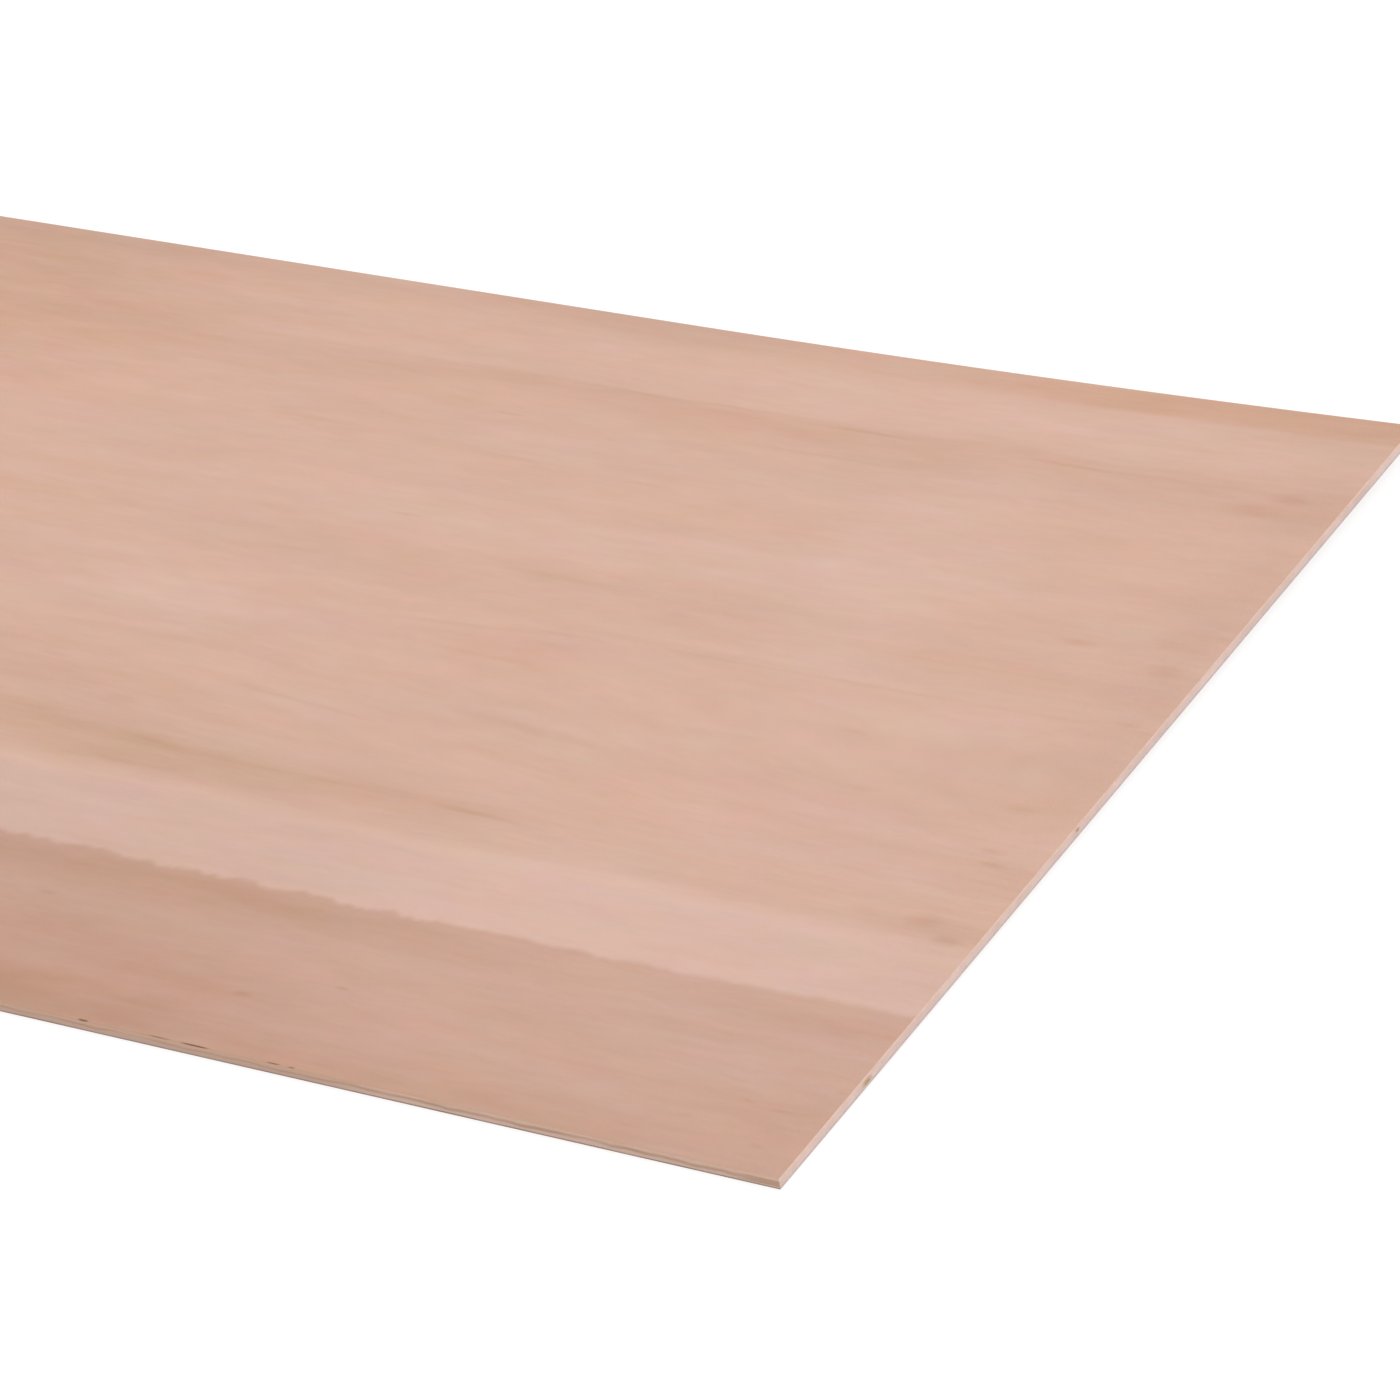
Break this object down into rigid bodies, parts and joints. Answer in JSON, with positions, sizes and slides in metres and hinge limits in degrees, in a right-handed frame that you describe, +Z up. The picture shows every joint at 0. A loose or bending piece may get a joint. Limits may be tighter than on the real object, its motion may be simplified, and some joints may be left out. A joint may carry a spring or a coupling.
{
  "type": "plywood sheet",
  "caption": "Long thin rectangular sheet of glued wood veneers with sawn edges, lying flat with one corner sprung up, for lining, backing and floor underlay.",
  "frame": {"origin": "middle of the sheet's underside, on the floor that it lies on", "axes": "+X along the length to the end with the sprung corner, +Y across the width to the back edge, +Z up"},
  "size_m": [1.829, 0.607, 0.0128],
  "materials": {
    "face_veneer": "sanded, unfinished",
    "core_veneer": "sawn, unfinished",
    "back_veneer": "sanded, unfinished"
  },
  "bodies": {
    "root": {"face_veneer": "face_veneer", "core_veneer": "core_veneer", "back_veneer": "back_veneer"}
  },
  "joints": []
}
